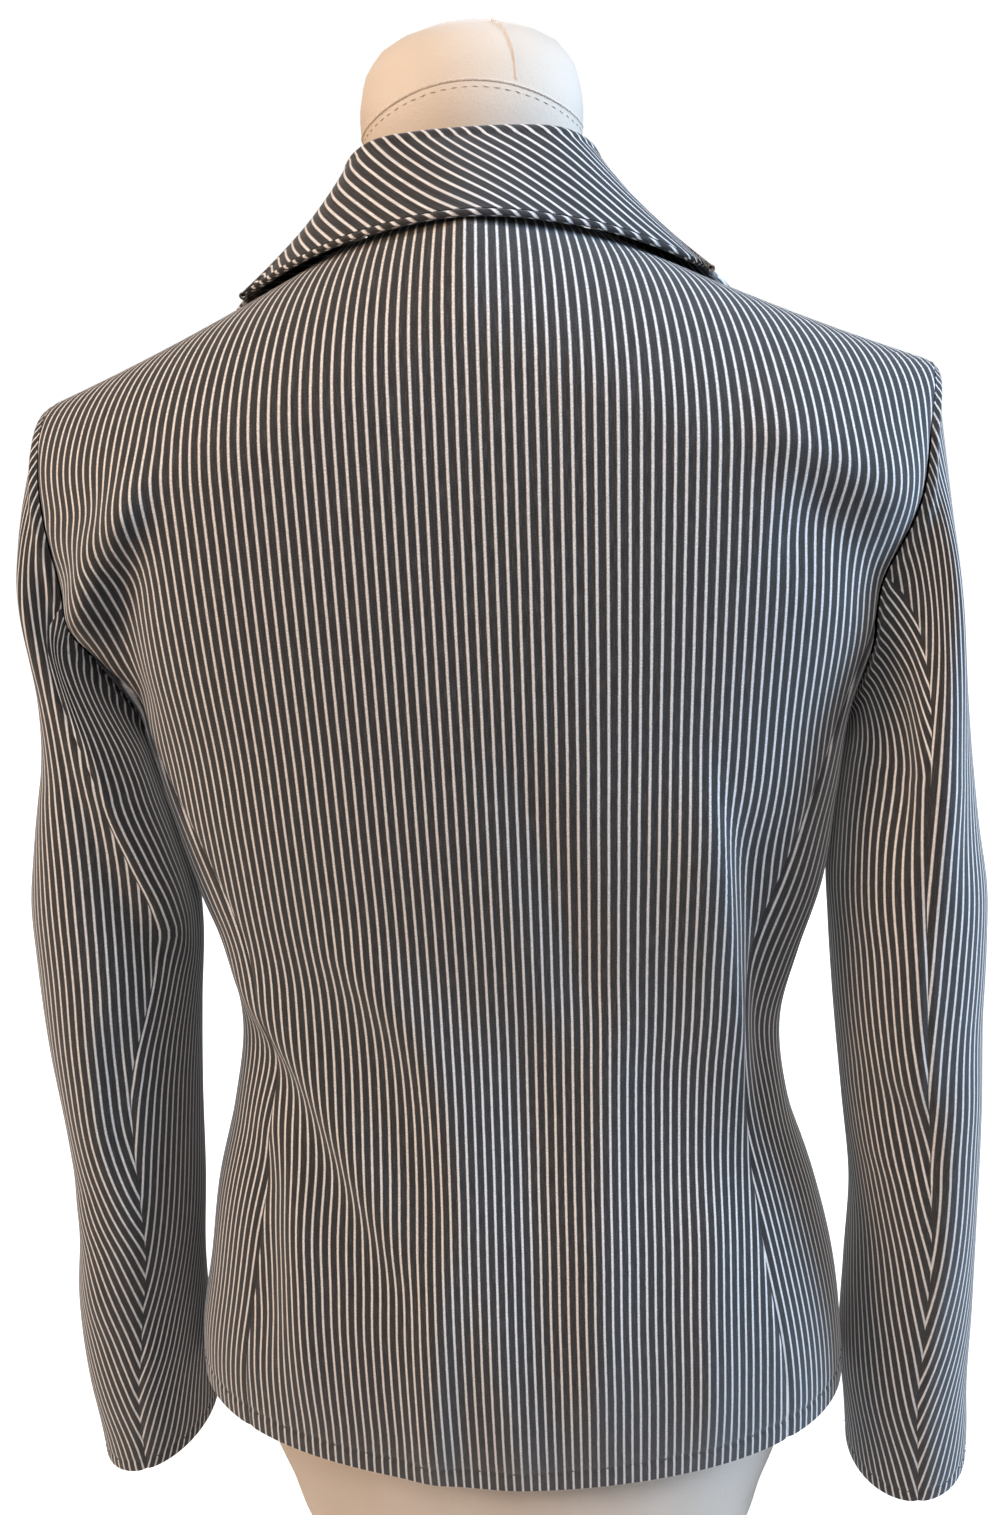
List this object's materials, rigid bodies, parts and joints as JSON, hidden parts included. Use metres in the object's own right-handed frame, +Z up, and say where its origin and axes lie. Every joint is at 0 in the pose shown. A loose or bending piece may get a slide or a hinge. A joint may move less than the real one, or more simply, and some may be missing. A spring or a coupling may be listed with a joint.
{
  "type": "pinstripe jacket on a limbless dress form",
  "caption": "Fitted pinstripe tailored jacket with a notched collar and long sleeves, worn by a limbless dress form that stands on its flat foot.",
  "frame": {"origin": "middle of the dress form's flat foot, on the surface that it stands on", "axes": "+Z up along the form; -Y towards the jacket's front and +Y towards its back; +X towards the wearer's left"},
  "size_m": [0.5364, 0.2214, 0.841],
  "materials": {
    "pinstripe_cloth": "matt worsted suiting, dark charcoal with fine off-white pinstripes 4.5 mm apart",
    "button": "satin dark four-hole button",
    "form_cover": "matt cream cotton jersey stretched smooth"
  },
  "bodies": {
    "root": {"back": "pinstripe_cloth", "side_back_right": "pinstripe_cloth", "front_right": "pinstripe_cloth", "lapel_right": "pinstripe_cloth", "upper_sleeve_right": "pinstripe_cloth", "under_sleeve_right": "pinstripe_cloth", "side_back_left": "pinstripe_cloth", "front_left": "pinstripe_cloth", "lapel_left": "pinstripe_cloth", "upper_sleeve_left": "pinstripe_cloth", "under_sleeve_left": "pinstripe_cloth", "collar": "pinstripe_cloth", "collar_roll": "pinstripe_cloth", "button_1": "button", "button_2": "button", "button_3": "button", "dress_form": "form_cover"}
  },
  "joints": []
}
